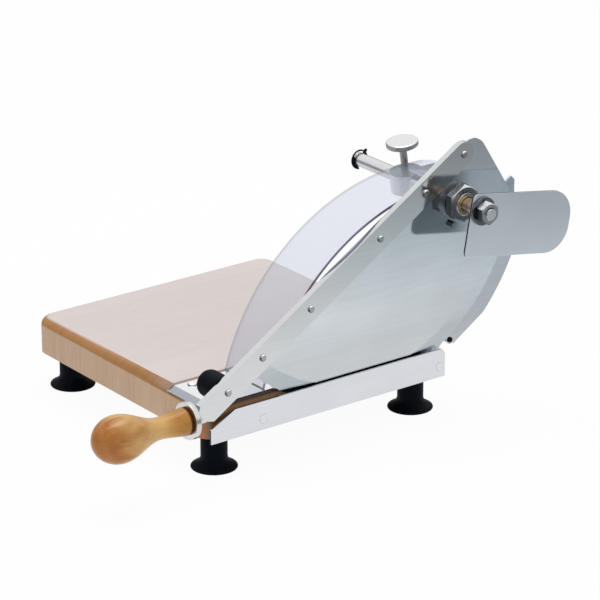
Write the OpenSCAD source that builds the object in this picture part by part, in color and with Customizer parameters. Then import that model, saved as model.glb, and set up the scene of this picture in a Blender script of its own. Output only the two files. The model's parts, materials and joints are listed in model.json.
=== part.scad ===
// Lever bread slicer: a curved blade on a swinging arm cuts bread on a wooden board.
// Working axes: X across the board (blade side at +X), Y from the handle to the rear, Z up.
// The working zero is the outer face of the rail, the board's front face and the board's underside.

/* [Board] */
// Width of the board across the cut
board_w = 259.4; // [220:0.1:300]
// Length of the board along the blade
board_l = 253; // [245:1:290]
// Thickness of the board
board_t = 32.6; // [28:0.1:40]
// Radius of the rounded top edge
board_edge_r = 8; // [4:0.5:10]
// Radius of the upright corners
board_corner_r = 15; // [11:0.5:20]

/* [Feet] */
// Height of a suction foot
foot_h = 32.3; // [26:0.1:40]
// Diameter of the foot's neck
foot_neck_d = 23; // [18:0.5:26]
// Diameter of the suction cup's rim
foot_rim_d = 40.2; // [32:0.1:46]
// Height of the suction cup
foot_cup_h = 7.5; // [6:0.5:12]
// Thickness of the rim's lip
foot_lip_t = 1.2; // [0.8:0.1:2]
// Width of the flat ring that the foot stands on
foot_ring_w = 3; // [2:0.1:5]
// Depth of the hollow under the cup
foot_hollow = 4; // [2:0.5:5]
// Distance from the board's blade side to the right feet
foot_inset_right = 15.5; // [14:0.1:40]
// Distance from the board's left side to the left feet
foot_inset_left = 22.5; // [20:0.5:40]
// Distance from the board's front to the front feet
foot_inset_front = 19.5; // [18:0.5:40]
// How much further in the front left foot stands
foot_inset_more = 4.5; // [0:0.5:8]
// Distance from the board's rear to the rear feet
foot_inset_rear = 22.4; // [20.4:0.5:40]
// Diameter of the threaded stud in a foot
foot_stud_d = 6; // [4:0.5:8]
// Depth of the stud in the foot
foot_stud_low = 12; // [8:0.5:18]
// Depth of the stud in the board
foot_stud_high = 16; // [10:0.5:20]

/* [Rail] */
// Distance of the rail's rear end from the board's rear
rail_in = 3; // [0:0.5:12]
// Height of the rail
rail_h = 26; // [24:0.5:30]
// Thickness of the rail sheet
rail_t = 1.8; // [1.5:0.1:3]
// Width of the blade slot between board and rail
slot_w = 6.2; // [5:0.1:7]
// Height of the rail's nose
rail_nose_h = 13.3; // [8:0.1:16]
// Length of the slope behind the nose
rail_nose_l = 25; // [15:0.5:30]
// Cut at the rail's rear top corner
rail_tail_cut = 4; // [1:0.5:8]
// Length of a rail spacer
spacer_l = 12; // [9:0.5:13]
// Height of a rail spacer
spacer_h = 12; // [10:0.5:12]
// Height of the spacers above the rail's lower edge
spacer_z = 4; // [1:0.5:4]
// Distance from the rail's front to the front spacer
spacer_front = 48; // [30:0.5:52]

/* [Base plate] */
// Width of the plate on the board
base_plate_w = 56; // [48:0.5:70]
// Thickness of the plate
base_plate_t = 1.5; // [1:0.1:2.5]
// Distance from the board's front to the plate's rear end
base_plate_l = 204; // [190:1:210]
// Depth of the plate's top below the board's top
base_sink = 1.2; // [0.5:0.1:3]
// Distance of the front fold from the board's front
base_fold = 7.2; // [6.5:0.1:9]
// Length of the bent front lip
base_lip_l = 7; // [3:0.5:7]
// Slope of the lip
base_lip_slope = 30; // [20:1:45]
// Distance of the plate's screws from its blade side
base_screw_x = 47; // [42:0.5:50]
// Distance of the front screw from the board's front
base_screw_front = 20; // [14:0.5:26]
// Distance of the rear screw from the plate's rear end
base_screw_rear = 9; // [7:0.5:14]

/* [Guard] */
// Thickness of the clear strip
guard_t = 2.5; // [2:0.1:3.5]
// Outer radius of the strip's bend
guard_r = 201.3; // [196:0.1:206]
// Height of the strip's top face above the pivot
guard_rise = 17.5; // [17:0.1:22]
// Distance from the end of the bend to the pivot
guard_bend_lead = 8.3; // [4:0.1:12]
// Length of the flat tail
guard_tail = 28.7; // [24:0.1:36]
// Radius of the tail's free corner
guard_corner_r = 16; // [8:0.5:18]
// Depth of the groove that holds the strip's foot
guard_groove = 7; // [4:0.5:10]
// Distance of the guard's wide part from the blade
guard_near = 1; // [0.8:0.1:3]
// Height above the board where the guard widens
guard_step = 6; // [4:0.5:12]
// Distance between the two guard screws
guard_screw_pitch = 14; // [11:0.5:15]
// Distance of the guard screws from the post
guard_screw_x = 10; // [8:0.5:16]

/* [Post] */
// Thickness of the post sheet
post_t = 2; // [1.5:0.1:2.5]
// Length of the post's seat along the board
post_seat_l = 34; // [28:0.5:36]
// Distance from the board's rear to the post's seat
post_seat_in = 3; // [2:0.5:6]
// Height of the post's upright front edge
post_front_h = 60; // [45:1:80]
// Reach of the post ahead of the pivot
post_fore = 32; // [30:0.5:36]
// Gap between the board's rear and the shield's lower tip
tip_gap = 4.5; // [3:0.5:6]
// Length of the tip's straight lower edge
tip_l = 9; // [7:0.5:12]
// Height of the post's lower edge above the board's underside
post_seat_z = 6; // [3:0.5:9]
// Width of the shield past the blade's edge
shield_margin = 17; // [12:0.1:20]
// Reach of the shield behind the pivot
shield_reach = 70; // [60:0.1:75]
// Height of the shield's rear corner above the pivot
shield_rise = 6.5; // [0:0.5:8]
// Height of the shield's lower tip above the board's underside
shield_tip_z = 24.4; // [20:0.1:28]
// Slope of the shield's lower edge
shield_slope = 33; // [30:0.5:36]
// Cut at the shield's upper rear corner
horn_cut = 4; // [2:0.5:6]
// Length of the sloping edge below that corner
horn_l = 23; // [15:0.5:26]
// Length of the tab that carries the guard
post_tab_l = 46; // [40:0.5:50]
// Depth of the tab along the guard's flat tail
post_tab_d = 28; // [24:0.5:28.5]
// Diameter of the plug in the tip
plug_d = 5; // [4:0.1:6]
// Height of the plug's head
plug_h = 1; // [0.6:0.1:1.2]
// Diameter of the plug's shank
plug_shank_d = 3; // [2:0.1:3.5]
// Distance of the plug from the tip's edges
plug_inset = 4; // [3:0.1:5]

/* [Pivot] */
// Distance of the pivot behind the board's rear
pivot_back = 8.6; // [5:0.1:17]
// Height of the pivot above the board's underside
pivot_z = 159; // [150:0.1:165]
// Diameter of the hollow axle
axle_d = 20; // [18:0.1:21]
// Diameter of the axle's flange
axle_flange_d = 25; // [23:0.1:25.4]
// Thickness of the axle's flange
axle_flange_t = 6; // [3:0.5:8]
// Wall of the brass guide sleeve
sleeve_wall = 1.75; // [1:0.05:2]
// Length of the sleeve past the axle's end
sleeve_past = 1; // [1:0.5:4]
// Width of the pivot nut across its flats
pivot_nut_af = 30; // [26:0.5:31]
// Height of the pivot nut
pivot_nut_h = 9; // [7:0.5:11]
// Thickness of the pivot washer
pivot_washer_t = 1.4; // [1:0.1:2]
// Length of the axle past the nut
axle_past = 1.4; // [1:0.1:3]

/* [Arm] */
// Width of the arm bar
arm_w = 21.5; // [20:0.5:26]
// Thickness of the arm bar
arm_t = 6; // [4:0.5:7]
// Distance of the arm's centre line from the pivot
arm_offset = 33; // [32:0.1:34]
// Distance from the board's front to the bumper's centre
bumper_in = 16.25; // [12:0.05:20]
// Length of the arm ahead of the bumper
arm_nose = 31; // [26:0.5:34]
// Cut at the arm's lower front corner
arm_nose_cut = 7; // [4:0.5:10]
// Cut at the arm's upper front corner
arm_brow_cut = 4; // [2:0.5:6]
// Distances of the blade's screws ahead of the pivot, along the arm
blade_screw_at = [226.9, 167.6, 80.8, 23.6, -25.5];
// Diameter of an arm screw's head
arm_head_d = 6.2; // [5.5:0.1:9]
// Diameter of an arm screw's shank
arm_shank_d = 4; // [3:0.1:5]
// Diameter of the rubber bumper
bumper_d = 24; // [22:0.1:28]
// Length of the rubber bumper
bumper_l = 26; // [16:0.5:28]

/* [Blade] */
// Thickness of the blade
blade_t = 2; // [1.2:0.1:2.4]
// Height of the cutting edge's lowest point above the board's underside
blade_low = 2.7; // [2:0.1:8]
// Centre of the cutting edge ahead of the pivot, along the arm
blade_lead = 77.5; // [74:0.1:80]
// Centre of the cutting edge above the pivot, square to the arm
blade_rise = 62.2; // [60:0.1:65]
// Distance of the blade's rear edge behind the pivot, along the arm
blade_tail = 49.7; // [45:0.1:50]
// Depth of the blade's top edge below the arm's top edge
blade_sink = 7.5; // [3:0.1:8.5]
// Radius of the blade's top rear corner
blade_corner_r = 15.5; // [8:0.5:17]
// Width of the ground bevel
bevel_w = 15; // [8:0.5:17]
// Thickness left at the cutting edge
edge_t = 0.4; // [0.3:0.05:0.8]
// Length of one scallop of the edge
scallop_pitch = 10; // [8:0.5:20]
// Depth of a scallop
scallop_depth = 1.2; // [0.6:0.1:2]
// Outer diameter of the pivot bush
bush_d = 26; // [25:0.5:28]
// Diameter of the bush's flange and ring
bush_flange_d = 32; // [31:0.5:36]
// Thickness of the bush's flange
bush_flange_t = 1.2; // [0.8:0.1:1.4]
// Thickness of the bush ring
bush_ring_t = 3; // [2:0.5:4]
// Largest opening angle of the lever
lever_open = 65; // [40:1:70]
// Distance of the stop pin from the pivot
pin_r = 22; // [21:0.1:24]
// Direction of the stop pin from the pivot when the lever is down
pin_angle = 260; // [250:1:266]
// Diameter of the stop pin
pin_d = 4; // [3:0.1:4.5]
// Diameter of the stop pin's head
pin_head_d = 6; // [6:0.1:8]
// Height of the stop pin's head
pin_head_h = 4; // [2:0.5:4.5]

/* [Handle] */
// Distance of the handle's flange ahead of the arm's end
handle_ahead = 12.8; // [11:0.1:15]
// Drop of the handle below the middle of the arm's end
handle_drop = 0.8; // [0:0.1:4]
// Upward tilt of the handle
handle_tilt = 1.2; // [0:0.1:6]
// Diameter of the flange
flange_d = 32.5; // [30:0.5:38]
// Thickness of the flange
flange_t = 5; // [3:0.1:8]
// Length of the tang lapped on the arm
tang_l = 16; // [12:0.5:18]
// Height of the tang
tang_h = 13; // [9:0.5:16]
// Thickness of the tang
tang_t = 6; // [4:0.5:8]
// Diameter of the stud in the grip
stud_d = 8; // [6:0.5:10]
// Length of the stud in the grip
stud_l = 55; // [30:1:75]
// Length of the grip
grip_l = 90.5; // [85:0.5:120]
// Diameter of the grip at the flange
grip_root_d = 24; // [20:0.5:30]
// Diameter of the grip's neck
grip_neck_d = 19; // [14:0.5:22]
// Distance from the flange to the neck
grip_neck_at = 27; // [20:0.5:34]
// Diameter of the grip's bulb
grip_bulb_d = 41; // [34:0.5:46]
// Distance from the flange to the bulb
grip_bulb_at = 67; // [60:0.5:74]

/* [Thickness stop] */
// Diameter of the stop rod
rod_d = 12.5; // [11:0.1:13]
// Length of the rod on the left of the rail's outer face
rod_left = 138.5; // [135:0.5:160]
// Diameter of the rod's stepped end
rod_end_d = 10; // [8:0.5:10]
// Distance of the stop plate from the rail's outer face
stop_x = 30.5; // [28:0.5:36]
// Thickness of the stop plate
stop_t = 2; // [1.5:0.1:3]
// Length of the stop plate ahead of the rod
stop_fore = 12.5; // [10:0.1:16]
// Length of the stop plate behind the rod
stop_aft = 102.5; // [90:0.5:115]
// Height of the stop plate above the rod
stop_up = 15; // [12:0.5:20]
// Depth of the stop plate below the rod
stop_down = 41; // [34:0.5:44]
// Radius of the rear corners
stop_aft_r = 24; // [15:0.5:26]
// Radius of the front corners
stop_fore_r = 5; // [3:0.5:8]
// Slope of the stop plate, rear end down
stop_slope = 10; // [0:0.5:20]
// Diameter of the washer on the stop plate
stop_washer_d = 25; // [22:0.5:28]
// Thickness of the washer
stop_washer_t = 2; // [1:0.1:3]
// Width of the rod's nut across its flats
stop_nut_af = 18; // [16:0.5:22]
// Height of the rod's nut
stop_nut_h = 8; // [6:0.5:10]
// Length of the rod past its nut
rod_past = 2; // [1:0.5:4]
// Diameter of the clip on the rod's left end
clip_d = 18; // [16:0.1:20]
// Thickness of the clip
clip_t = 1.2; // [0.8:0.1:2]
// Distance of the clip from the rod's end
clip_in = 1; // [0.5:0.1:3]
// Diameter of the groove that holds the clip
clip_groove_d = 11; // [10:0.1:12]
// Reach of the clip's ear from the rod's centre
clip_ear_r = 11.4; // [11:0.1:14]
// Width of the clip's ear
clip_ear_w = 3; // [2:0.1:5]
// Direction of the clip's ear above the rear
clip_ear_angle = 47; // [0:1:90]
// Width of the clip's rim where it stands clear of the rod
clip_rim = 1.4; // [1:0.1:2]
// Direction above the ear where the rim leaves the rod
clip_gap_from = 8; // [5:1:20]
// Direction above the ear where the rim meets the rod again
clip_gap_to = 103; // [60:1:120]
// Width of the clip's opening
clip_open = 8; // [3:0.5:9]
// Direction of the opening below the ear
clip_open_turn = 112; // [60:1:130]

/* [Clamp] */
// Distance of the clamp boss from the rail's outer face
boss_x = 70.5; // [67:0.5:76]
// Diameter of the clamp boss
boss_d = 29; // [23:0.5:29]
// Height of the boss above the rod's centre
boss_up = 8.5; // [8:0.1:9.5]
// Depth of the boss below the rod's centre
boss_down = 10; // [8:0.5:12]
// Diameter of the boss's neck
boss_neck_d = 16; // [15.5:0.1:16.4]
// Forward lean of the clamp
clamp_lean = 9; // [0:0.5:15]
// Diameter of the thumb screw's stem
stem_d = 6.5; // [5:0.1:7]
// Height of the knob's underside above the rod's centre
knob_at = 32; // [28:0.5:36]
// Diameter of the knob
knob_d = 28.5; // [24:0.5:32]
// Thickness of the knob
knob_t = 5; // [4:0.5:8]
// Chamfer on the knob's edges
knob_chamfer = 0.8; // [0.4:0.1:1.5]
// Depth of the stem in the knob
stem_in = 3; // [2:0.5:3.5]

/* [Screws] */
// Diameter of a small screw's head
small_head_d = 8; // [7:0.1:9]
// Height of a small screw's head
small_head_h = 1.6; // [1:0.1:2.5]
// Diameter of a small screw's shank
small_shank_d = 4; // [3:0.1:5]
// Length of a wood screw
wood_screw_l = 20; // [14:0.5:24]
// Height of an arm screw's head
arm_head_h = 1.6; // [1:0.1:2.5]
// Depth of the first arm screw in the bumper
bumper_screw_l = 9; // [5:0.5:11]

/* [Fits] */
// Radial gap of a running fit
run_gap = 0.05; // [0.02:0.01:0.1]
// Radial gap around a fastener or a seated edge
fit_gap = 0.15; // [0.05:0.05:0.2]
// Gap between moving faces that do not bear on each other
clear_gap = 0.3; // [0.2:0.05:0.4]

/* [Hidden] */
$fn = 64;
hull_fn = 32;
// Small overlap between a piece's own solids, and how far a cut runs past what it cuts
eps = 0.01;
past = 1;
// The scalloped arc ends a few degrees above the arm's top edge, and a scallop has this many chords
edge_lead = 6;
edge_steps = 6;

// Stations across the blade
board_x = -(rail_t + slot_w);
board_left = board_x - board_w;
blade_mid = -rail_t - slot_w / 2;
blade_in = blade_mid - blade_t / 2;
blade_out = blade_mid + blade_t / 2;
arm_out = blade_out + arm_t;
post_in = board_x - post_t;
base_top = board_t - base_sink;
base_under = base_top - base_plate_t;
rail_l = board_l - rail_in;
foot_right = board_x - foot_inset_right;
foot_left = board_left + foot_inset_left;
foot_rear = board_l - foot_inset_rear;
foot_at = [
    [foot_right, foot_inset_front], [foot_left, foot_inset_front + foot_inset_more],
    [foot_right, foot_rear], [foot_left, foot_rear]
];

// The pivot stands behind the board, and the arm's slope puts the bumper on the base plate
pivot_y = board_l + pivot_back;
bumper_z = base_top + clear_gap + bumper_d / 2;
bumper_run = [pivot_y - bumper_in, pivot_z - bumper_z];
bumper_reach = sqrt(bumper_run * bumper_run - arm_offset * arm_offset);
arm_slope = atan2(bumper_run[1], bumper_run[0]) + atan2(arm_offset, bumper_reach);
blade_y = pivot_y - blade_lead * cos(arm_slope) - blade_rise * sin(arm_slope);
blade_z = pivot_z - blade_lead * sin(arm_slope) + blade_rise * cos(arm_slope);
blade_r = blade_z - blade_low;

// Stations on the pivot's axis, from the post outward
axle_in = post_in - axle_flange_t;
bush_in = blade_in - bush_flange_t;
bush_out = blade_out + bush_ring_t + clear_gap;
washer_in = bush_out + fit_gap;
nut_in = washer_in + pivot_washer_t;
axle_end = nut_in + pivot_nut_h + axle_past;
sleeve_end = axle_end + sleeve_past;
sleeve_d = rod_d + 2 * (run_gap + sleeve_wall);
rod_bore = rod_d + 2 * run_gap;

// Stations on the stop rod's right end
stop_washer_x = stop_x + stop_t + fit_gap;
stop_nut_x = stop_washer_x + stop_washer_t;
rod_right = stop_nut_x + stop_nut_h + rod_past;
clip_x = -rod_left + clip_in;

// The arm along its own axis, counted from the pivot
arm_front = -bumper_reach - arm_nose;
arm_screws_u = [-bumper_reach, each -blade_screw_at];
arm_rear = arm_screws_u[len(arm_screws_u) - 1];
handle_y = pivot_y + arm_front * cos(arm_slope) - arm_offset * sin(arm_slope) - handle_ahead;
handle_z = pivot_z + arm_front * sin(arm_slope) + arm_offset * cos(arm_slope) - handle_drop;

// The guard's bend and its ends
guard_y = pivot_y - guard_bend_lead;
guard_z = pivot_z + guard_rise - guard_r;
guard_under = pivot_z + guard_rise - guard_t;
guard_left = board_x - base_plate_w;
guard_right = post_in - clear_gap;
guard_foot = board_t - guard_groove;
guard_edge = blade_in - guard_near;

// The post's seat, its tab under the guard's tail and the lower tip of its shield
post_front = board_l - post_seat_in - post_seat_l;
post_rear = board_l - post_seat_in;
tab_y = [guard_y, guard_y + post_tab_d];
tip_y = board_l + tip_gap;
plug_at = [tip_y + plug_inset, shield_tip_z + plug_inset];

// Places of the screws, the spacers and the stop pin
base_screw_at = [for (y = [base_screw_front, base_plate_l - base_screw_rear]) [board_x - base_screw_x, y]];
spacer_y = [spacer_front, rail_l - spacer_l];
rail_screw_at = [for (y = spacer_y) [y + spacer_l / 2, spacer_z + spacer_h / 2]];
post_screw_at = [
    [post_front + small_head_d, post_seat_z + small_head_d],
    [post_front + small_head_d, board_t - small_head_d],
    [post_rear - small_head_d, board_t - small_head_d]
];
tab_mid = (tab_y[0] + tab_y[1]) / 2;
guard_screw_at = [for (side = [-1, 1]) [post_in - guard_screw_x, tab_mid + side * guard_screw_pitch / 2]];
pin_at = pin_r * [cos(pin_angle - arm_slope), sin(pin_angle - arm_slope)];

// Overall box, for the origin under its middle
y_low = handle_y - grip_l * cos(handle_tilt);
stop_corner = [stop_aft - stop_aft_r, stop_up - stop_aft_r];
y_high = pivot_y + stop_corner[0] * cos(stop_slope) + stop_corner[1] * sin(stop_slope) + stop_aft_r;
origin = [(board_left + rod_right) / 2, (y_low + y_high) / 2, -foot_h];

module placed() {
    translate(-origin) children();
}

// Sheet between two stations across the blade, with its outline in Y and Z
module sheet(from, to) {
    translate([from, 0, 0]) rotate([90, 0, 90]) linear_extrude(to - from) children();
}

// Round bar between two stations across the blade, about a point in Y and Z
module bar(from, to, d, at = [0, 0]) {
    translate([from, at[0], at[1]]) rotate([0, 90, 0]) cylinder(h = to - from, d = d);
}

// The swinging arm's own axes: Y along the arm from the pivot, Z square to it
module lever() {
    translate([0, pivot_y, pivot_z]) rotate([arm_slope, 0, 0]) children();
}

// The handle's own axes: Z out along the grip from the flange's front face
module handle_axes() {
    translate([blade_out, handle_y, handle_z]) rotate([90 - handle_tilt, 0, 0]) children();
}

// The clamp's own axes: Z up along the thumb screw from the rod's centre
module clamp_axes() {
    translate([-boss_x, pivot_y, pivot_z]) rotate([clamp_lean, 0, 0]) children();
}

// Turns an upright screw so that its head points out across the blade
module head_out(x, at) {
    translate([x, at[0], at[1]]) rotate([0, 90, 0]) children();
}

// Screw with a low round head, seated on Z = 0
module pan_screw(head_d, head_h, shank_d, length) {
    crown_d = (head_d + shank_d) / 2;
    cylinder(h = head_h / 2, d = head_d);
    translate([0, 0, head_h / 2]) cylinder(h = head_h / 2, d1 = head_d, d2 = crown_d);
    translate([0, 0, -length]) cylinder(h = length, d = shank_d);
}

// Countersunk screw, flush with Z = 0, or its hole when grown by a gap
module flat_screw(gap = 0) {
    cone = (small_head_d - small_shank_d) / 2;
    translate([0, 0, -cone]) cylinder(h = cone, d1 = small_shank_d + 2 * gap, d2 = small_head_d + 2 * gap);
    translate([0, 0, -wood_screw_l - gap])
        cylinder(h = wood_screw_l + gap - cone, d = small_shank_d + 2 * gap);
}

// Ring between two stations across the blade, about the pivot
module pivot_ring(from, to, outer, bore) {
    difference() {
        bar(from, to, outer, [pivot_y, pivot_z]);
        bar(from - eps, to + eps, bore, [pivot_y, pivot_z]);
    }
}

// Hexagon nut about the pivot's axis
module pivot_hex(from, to, across_flats, bore) {
    difference() {
        head_out(from, [pivot_y, pivot_z])
            rotate([0, 0, 30]) cylinder(h = to - from, d = across_flats / cos(30), $fn = 6);
        bar(from - eps, to + eps, bore, [pivot_y, pivot_z]);
    }
}

module board_blank() {
    hull() for (x = [board_left + board_corner_r, board_x - board_corner_r])
        for (y = [board_corner_r, board_l - board_corner_r])
            translate([x, y, 0]) rotate_extrude($fn = hull_fn) {
                square([board_corner_r, board_t - board_edge_r]);
                square([board_corner_r - board_edge_r, board_t]);
                translate([board_corner_r - board_edge_r, board_t - board_edge_r]) intersection() {
                    circle(board_edge_r);
                    square(board_edge_r);
                }
            }
}

module board() {
    color("burlywood") placed() difference() {
        board_blank();
        for (at = foot_at)
            translate([at[0], at[1], -eps])
                cylinder(h = foot_stud_high + fit_gap + eps, d = foot_stud_d + 2 * fit_gap);
        for (at = base_screw_at)
            translate([at[0], at[1], base_top - wood_screw_l])
                cylinder(h = wood_screw_l + eps, d = small_shank_d + 2 * fit_gap);
        sheet(guard_left - fit_gap, board_x + past) base_seat();
        for (at = rail_screw_at) head_out(0, at) flat_screw(fit_gap);
        for (at = post_screw_at) head_out(board_x, at) flat_screw(fit_gap);
        translate([post_in, post_front - fit_gap, post_seat_z])
            cube([post_t + past, board_l - post_front + past, board_t]);
        guard_bend(guard_right, fit_gap, guard_foot);
    }
}

module foot(at) {
    neck_r = foot_neck_d / 2;
    rim_r = foot_rim_d / 2;
    color("black") placed() translate([at[0], at[1], -foot_h]) difference() {
        rotate_extrude() polygon([
            [0, foot_hollow], [rim_r - foot_ring_w, 0], [rim_r, 0], [rim_r, foot_lip_t],
            [neck_r, foot_cup_h], [neck_r, foot_h], [0, foot_h]
        ]);
        translate([0, 0, foot_h - foot_stud_low - fit_gap])
            cylinder(h = foot_stud_low + fit_gap + eps, d = foot_stud_d + 2 * fit_gap);
    }
}

module foot_front_right() { foot(foot_at[0]); }
module foot_front_left() { foot(foot_at[1]); }
module foot_rear_right() { foot(foot_at[2]); }
module foot_rear_left() { foot(foot_at[3]); }

module foot_studs() {
    color("silver") placed() for (at = foot_at)
        translate([at[0], at[1], -foot_stud_low]) cylinder(h = foot_stud_low + foot_stud_high, d = foot_stud_d);
}

// Rebate in the board under the plate and its lip
module base_seat() {
    ahead = base_fold + past;
    polygon([
        [base_plate_l + fit_gap, base_under], [base_fold, base_under],
        [-past, base_under - ahead * tan(base_lip_slope)], [-past, board_t + past],
        [base_plate_l + fit_gap, board_t + past]
    ]);
}

module base_plate() {
    s = base_lip_slope;
    lip_end = [base_fold - base_lip_l * cos(s), base_under - base_lip_l * sin(s)];
    color("gainsboro") placed() difference() {
        sheet(guard_left, board_x) polygon([
            [base_plate_l, base_under], [base_fold, base_under], lip_end,
            lip_end + base_plate_t * [-sin(s), cos(s)],
            [base_fold - base_plate_t * tan(s / 2), base_top], [base_plate_l, base_top]
        ]);
        guard_bend(guard_right, fit_gap, guard_foot);
        for (at = base_screw_at)
            translate([at[0], at[1], 0]) cylinder(h = base_top + eps, d = small_shank_d + 2 * fit_gap);
    }
}

module base_plate_screws() {
    color("silver") placed() for (at = base_screw_at)
        translate([at[0], at[1], base_top])
            pan_screw(small_head_d, small_head_h, small_shank_d, wood_screw_l);
}

module rail_plate() {
    color("gainsboro") placed() difference() {
        sheet(-rail_t, 0) polygon([
            [0, 0], [rail_l, 0], [rail_l, rail_h - rail_tail_cut], [rail_l - rail_tail_cut, rail_h],
            [rail_nose_l, rail_h], [0, rail_nose_h]
        ]);
        for (at = rail_screw_at) head_out(0, at) flat_screw(fit_gap);
    }
}

module rail_spacers() {
    color("silver") placed() difference() {
        for (y = spacer_y) translate([board_x, y, spacer_z]) cube([slot_w, spacer_l, spacer_h]);
        for (at = rail_screw_at) head_out(0, at) flat_screw(fit_gap);
    }
}

module rail_screws() {
    color("gainsboro") placed() for (at = rail_screw_at) head_out(0, at) flat_screw();
}

// Slot for the stop pin: an arc about the pivot, as long as the lever's travel
module pin_slot() {
    width = pin_d + 2 * clear_gap;
    ends = [pin_angle - lever_open, pin_angle];
    far = 2 * pin_r;
    translate([pivot_y, pivot_z]) {
        intersection() {
            difference() {
                circle(pin_r + width / 2);
                circle(pin_r - width / 2);
            }
            polygon([[0, 0], for (i = [0:4]) let (a = ends[0] + i * lever_open / 4) far * [cos(a), sin(a)]]);
        }
        for (a = ends) translate(pin_r * [cos(a), sin(a)]) circle(d = width);
    }
}

module post_outline() {
    shield_y = pivot_y + shield_reach;
    horn_z = pivot_z + shield_rise;
    notch_z = board_t + post_seat_in;
    tip_cut = tip_l / 3;
    intersection() {
        translate([blade_y, blade_z]) circle(blade_r + shield_margin, $fn = 128);
        polygon([
            [post_front, post_seat_z], [post_rear, post_seat_z], [post_rear, notch_z], [tip_y, notch_z],
            [tip_y, shield_tip_z + tip_cut], [tip_y + tip_cut, shield_tip_z], [tip_y + tip_l, shield_tip_z],
            [shield_y, shield_tip_z + (shield_y - tip_y - tip_l) * tan(shield_slope)],
            [shield_y, horn_z - horn_cut], [shield_y - horn_cut, horn_z],
            [shield_y - horn_cut - horn_l, horn_z - horn_l * tan(arm_slope)],
            [tab_y[1], guard_under], [tab_y[0], guard_under],
            [pivot_y - post_fore, pivot_z], [post_front, post_front_h]
        ]);
    }
}

module rear_post() {
    color("lightgray") placed() difference() {
        union() {
            sheet(post_in, board_x) difference() {
                post_outline();
                pin_slot();
                translate(plug_at) circle(d = plug_shank_d + 2 * run_gap);
            }
            translate([post_in - post_tab_l, tab_y[0], guard_under - post_t])
                cube([post_tab_l + eps, post_tab_d, post_t]);
        }
        bar(post_in - eps, board_x + eps, axle_d + 2 * run_gap, [pivot_y, pivot_z]);
        for (at = rail_screw_at) head_out(0, at) flat_screw(fit_gap);
        for (at = post_screw_at) head_out(board_x, at) flat_screw(fit_gap);
        for (at = guard_screw_at)
            translate([at[0], at[1], guard_under - post_t - past])
                cylinder(h = post_t + 2 * past, d = small_shank_d + 2 * fit_gap);
    }
}

module post_screws() {
    color("silver") placed() for (at = post_screw_at) head_out(board_x, at) flat_screw();
}

module post_tip_plug() {
    color("black") placed() {
        bar(board_x, board_x + plug_h, plug_d, plug_at);
        bar(post_in, board_x + eps, plug_shank_d, plug_at);
    }
}

// The strip's bend from its foot to its top, grown by a gap for the groove around it
module guard_bend(right, gap, low) {
    intersection() {
        difference() {
            bar(guard_left - gap, right + gap, 2 * (guard_r + gap), [guard_y, guard_z]);
            bar(guard_left - gap - eps, right + gap + eps, 2 * (guard_r - guard_t - gap), [guard_y, guard_z]);
        }
        translate([guard_left - past, 0, low])
            cube([right - guard_left + 2 * past, guard_y, 2 * guard_r]);
    }
}

module guard() {
    r = guard_corner_r;
    color("lavender", 0.5) placed() difference() {
        union() {
            guard_bend(guard_right, 0, guard_foot);
            guard_bend(guard_edge, 0, board_t + guard_step);
            translate([0, guard_y, guard_under]) linear_extrude(guard_t) {
                translate([guard_left + r, 0]) square([guard_right - guard_left - r, guard_tail]);
                translate([guard_left, 0]) square([r, guard_tail - r]);
                translate([guard_left + r, guard_tail - r]) circle(r);
            }
        }
        for (at = guard_screw_at)
            translate([at[0], at[1], guard_under - eps])
                cylinder(h = 2 * guard_t, d = small_shank_d + 2 * fit_gap);
    }
}

module guard_screws() {
    color("silver") placed() for (at = guard_screw_at)
        translate([at[0], at[1], guard_under + guard_t])
            pan_screw(small_head_d, small_head_h, small_shank_d, guard_t + post_t);
}

module pivot_axle() {
    bore = sleeve_d + 2 * run_gap;
    color("silver") placed() {
        pivot_ring(axle_in, post_in, axle_flange_d, bore);
        pivot_ring(post_in, axle_end, axle_d, bore);
    }
}

module guide_sleeve() {
    color("goldenrod") placed() pivot_ring(axle_in, sleeve_end, sleeve_d, rod_bore);
}

module pivot_washer() {
    color("silver") placed() pivot_ring(washer_in, nut_in, bush_flange_d, axle_d + 2 * run_gap);
}

module pivot_nut() {
    color("silver") placed() pivot_hex(nut_in, nut_in + pivot_nut_h, pivot_nut_af, axle_d + 2 * run_gap);
}

module clamp_boss() {
    color("silver") placed() difference() {
        union() {
            clamp_axes() translate([0, 0, -boss_down]) cylinder(h = boss_down + boss_up, d = boss_d);
            bar(-boss_x, axle_in, boss_neck_d, [pivot_y, pivot_z]);
        }
        bar(-boss_x - boss_d, post_in, rod_bore, [pivot_y, pivot_z]);
        clamp_axes() cylinder(h = 2 * boss_up, d = stem_d + 2 * run_gap);
    }
}

module arm_bar() {
    low = arm_offset - arm_w / 2;
    high = arm_offset + arm_w / 2;
    color("whitesmoke") placed() lever() difference() {
        sheet(blade_out, arm_out) {
            polygon([
                [arm_front + arm_nose_cut, low], [arm_rear, low],
                [arm_rear, high], [arm_front + arm_brow_cut, high],
                [arm_front, high - arm_brow_cut], [arm_front, low + arm_nose_cut]
            ]);
            translate([arm_rear, arm_offset]) circle(d = arm_w);
        }
        for (u = arm_screws_u)
            bar(blade_out - eps, arm_out + eps, arm_shank_d + 2 * fit_gap, [u, arm_offset]);
    }
}

// Cutting edge: an arc of scallops that meet in points
function edge_points(from, to, steps) =
    let (count = round(blade_r * PI * (to - from) / 180 / scallop_pitch))
    [for (i = [0:count * steps])
        let (a = from + (to - from) * i / (count * steps))
        let (r = blade_r - scallop_depth * abs(sin(180 * i / steps)))
        [-blade_lead + r * cos(a), blade_rise + r * sin(a)]];

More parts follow.
